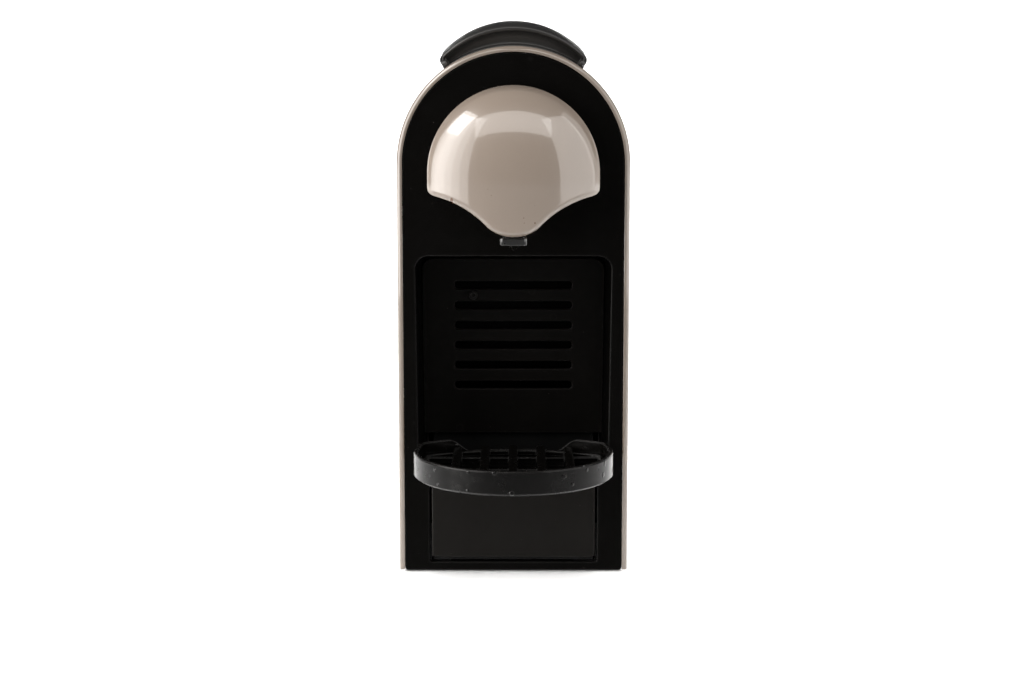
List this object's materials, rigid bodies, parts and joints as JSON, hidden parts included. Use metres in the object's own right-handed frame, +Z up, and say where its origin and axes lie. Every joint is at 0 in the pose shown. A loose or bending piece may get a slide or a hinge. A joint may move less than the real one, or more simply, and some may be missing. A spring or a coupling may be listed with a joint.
{
  "type": "pod coffee machine",
  "caption": "Pod coffee machine with an arched cream casing, a coffee head over a cup bay, a sliding top, a pull-out drawer with a cup tray, and a rear water tank.",
  "frame": {"origin": "on the table under the middle of the machine's bounding box", "axes": "+X to the right seen from the front, -Y towards the user, +Z up"},
  "size_m": [0.11, 0.369, 0.2643],
  "materials": {
    "cream_shell": "high gloss",
    "black_plastic": "fine-grained matte",
    "black_satin": "satin",
    "outlet_plastic": "wet, slightly stained",
    "grey_plastic": "satin",
    "gloss_black": "gloss",
    "button_lens": "gloss",
    "rubber": "matte",
    "natural_plastic": "moulded",
    "steel": "brushed",
    "magnet": "plated",
    "brass": "turned",
    "aluminium": "cast",
    "circuit_board": "lacquered",
    "board_plastic": "moulded",
    "smoked_clear": "clear, lightly smoked"
  },
  "bodies": {
    "body": {"body_shell": "cream_shell", "front_fascia": "black_plastic", "bay_liner": "black_plastic", "head_cover": "cream_shell", "outlet_duct": "natural_plastic", "coffee_outlet": "outlet_plastic", "base_plate": "black_plastic", "feet": "rubber", "rear_cover": "black_plastic", "cover_screws": "steel", "tank_base": "black_plastic", "cord_gland": "rubber", "tank_socket": "natural_plastic", "socket_seal": "rubber", "slider_rails": "black_plastic", "insert_chute": "black_plastic", "waste_chute": "black_plastic", "brew_frame": "grey_plastic", "guide_rods": "steel", "piercing_plate": "steel", "frame_screws": "steel", "screw_bush": "brass", "brew_motor": "steel", "pump": "steel", "pump_mounts": "rubber", "flow_meter": "natural_plastic", "heater_block": "aluminium", "heater_bracket": "steel", "heater_screws": "steel", "water_hoses": "rubber", "control_board": "circuit_board", "board_parts": "board_plastic", "board_posts": "natural_plastic", "drawer_guides": "black_plastic"},
    "screw": {"lead_screw": "steel", "screw_gear": "natural_plastic"},
    "pinion": {"motor_shaft": "steel", "motor_pinion": "brass"},
    "cage": {"capsule_cage": "grey_plastic", "cage_nut": "brass"},
    "slider": {"slider_cover": "grey_plastic", "slider_carriage": "black_plastic", "touch_panel": "gloss_black", "touch_buttons": "button_lens"},
    "drawer": {"drawer_front": "black_plastic", "drip_base": "black_plastic", "capsule_bin": "black_plastic", "grille_panel": "black_plastic", "panel_stud": "black_plastic", "dock_magnets": "magnet"},
    "tray": {"cup_tray": "black_satin", "tray_magnets": "magnet"},
    "grid": {"drip_grid": "black_satin"},
    "tank": {"water_tank": "smoked_clear", "tank_valve": "natural_plastic", "lid_pin": "steel"},
    "lid": {"tank_lid": "black_satin"}
  },
  "joints": [
    {"name": "screw_spin", "type": "hinge", "parent": "body", "child": "screw", "pos_m": [0, 0.03, 0.196], "axis": [0, 1, 0], "range_deg": [0, 720]},
    {"name": "pinion_spin", "type": "hinge", "parent": "body", "child": "pinion", "pos_m": [0, 0.03, 0.224], "axis": [0, 1, 0], "range_deg": [-2161, 0]},
    {"name": "cage_slide", "type": "slide", "parent": "body", "child": "cage", "axis": [0, 1, 0], "range_m": [0, 0.0321]},
    {"name": "slider_slide", "type": "slide", "parent": "body", "child": "slider", "axis": [0, 1, 0], "range_m": [0, 0.042]},
    {"name": "drawer_slide", "type": "slide", "parent": "body", "child": "drawer", "axis": [0, -1, 0], "range_m": [0, 0.12]},
    {"name": "tray_slide", "type": "slide", "parent": "drawer", "child": "tray", "axis": [0, -1, 0], "range_m": [0, 0.04]},
    {"name": "grid_lift", "type": "slide", "parent": "tray", "child": "grid", "axis": [0, 0, 1], "range_m": [0, 0.025]},
    {"name": "tank_lift", "type": "slide", "parent": "body", "child": "tank", "axis": [0, 0, 1], "range_m": [0, 0.06]},
    {"name": "lid_hinge", "type": "hinge", "parent": "tank", "child": "lid", "pos_m": [0, 0.101, 0.1637], "axis": [1, 0, 0], "range_deg": [0, 80]}
  ],
  "couplings": [
    {"joint": "pinion_spin", "follows": "screw_spin", "ratio": -3},
    {"joint": "cage_slide", "follows": "screw_spin", "m_per_rad": 0.0025465}
  ]
}
